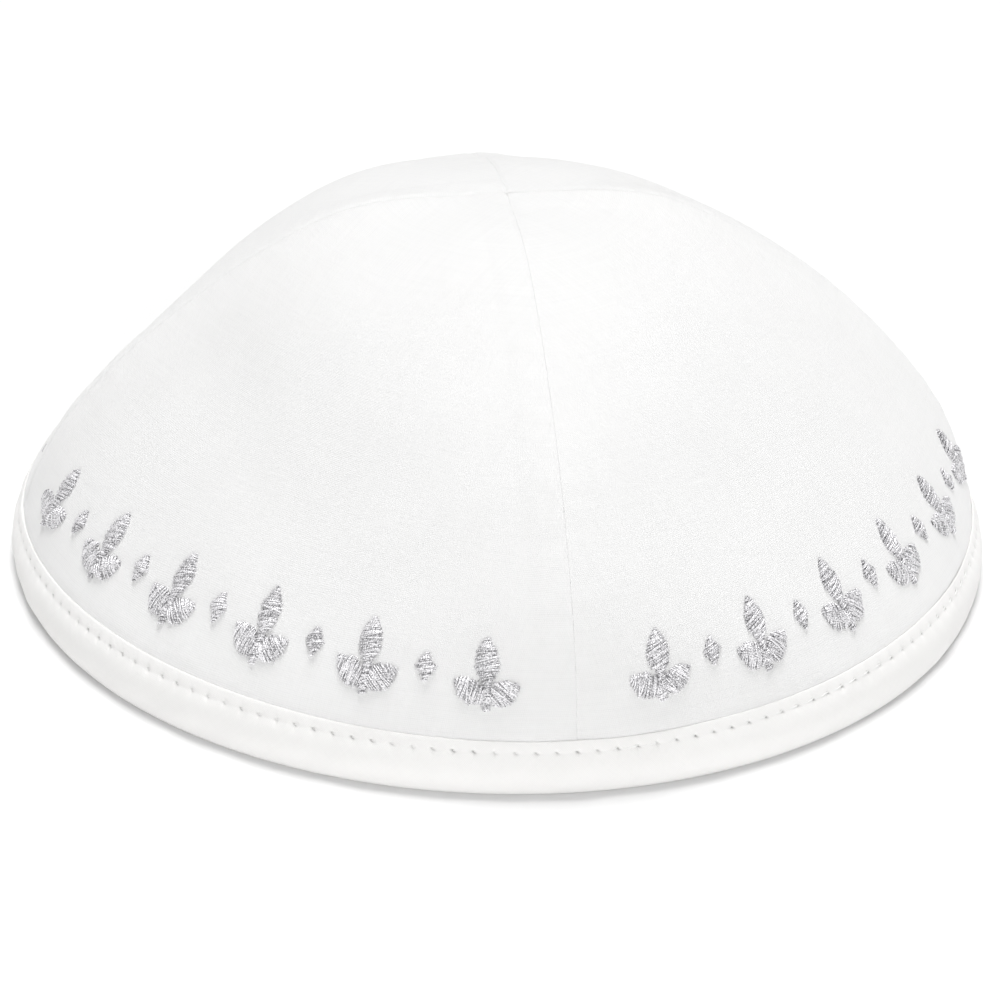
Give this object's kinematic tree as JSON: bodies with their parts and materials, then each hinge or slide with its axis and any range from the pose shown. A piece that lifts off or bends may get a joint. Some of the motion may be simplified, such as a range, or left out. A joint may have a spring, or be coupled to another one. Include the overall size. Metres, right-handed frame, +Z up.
{
  "type": "kippah skullcap",
  "caption": "Round domed cloth skullcap of sewn gores, open below, with a folded tape binding round its rim and a raised embroidered leaf border above it.",
  "frame": {"origin": "on the surface that the cap rests on, under the middle of the rim", "axes": "+Z up through the crown, -Y towards the front seam, +X to the right seen from the front"},
  "size_m": [0.1801, 0.18, 0.0684],
  "materials": {
    "cotton": "matt plain-weave white cotton",
    "binding_tape": "matt white cotton tape with one row of lockstitches",
    "silver_thread": "silver-grey satin-stitched embroidery thread with a soft metallic sheen"
  },
  "bodies": {
    "root": {"gore_front_right": "cotton", "gore_back_right": "cotton", "gore_back_left": "cotton", "gore_front_left": "cotton", "binding": "binding_tape", "sprig_front_right_1": "silver_thread", "sprig_front_right_2": "silver_thread", "sprig_front_right_3": "silver_thread", "sprig_front_right_4": "silver_thread", "sprig_front_right_5": "silver_thread", "sprig_front_right_6": "silver_thread", "lozenge_front_right_1": "silver_thread", "lozenge_front_right_2": "silver_thread", "lozenge_front_right_3": "silver_thread", "lozenge_front_right_4": "silver_thread", "lozenge_front_right_5": "silver_thread", "sprig_back_right_1": "silver_thread", "sprig_back_right_2": "silver_thread", "sprig_back_right_3": "silver_thread", "sprig_back_right_4": "silver_thread", "sprig_back_right_5": "silver_thread", "sprig_back_right_6": "silver_thread", "lozenge_back_right_1": "silver_thread", "lozenge_back_right_2": "silver_thread", "lozenge_back_right_3": "silver_thread", "lozenge_back_right_4": "silver_thread", "lozenge_back_right_5": "silver_thread", "sprig_back_left_1": "silver_thread", "sprig_back_left_2": "silver_thread", "sprig_back_left_3": "silver_thread", "sprig_back_left_4": "silver_thread", "sprig_back_left_5": "silver_thread", "sprig_back_left_6": "silver_thread", "lozenge_back_left_1": "silver_thread", "lozenge_back_left_2": "silver_thread", "lozenge_back_left_3": "silver_thread", "lozenge_back_left_4": "silver_thread", "lozenge_back_left_5": "silver_thread", "sprig_front_left_1": "silver_thread", "sprig_front_left_2": "silver_thread", "sprig_front_left_3": "silver_thread", "sprig_front_left_4": "silver_thread", "sprig_front_left_5": "silver_thread", "sprig_front_left_6": "silver_thread", "lozenge_front_left_1": "silver_thread", "lozenge_front_left_2": "silver_thread", "lozenge_front_left_3": "silver_thread", "lozenge_front_left_4": "silver_thread", "lozenge_front_left_5": "silver_thread"}
  },
  "joints": []
}
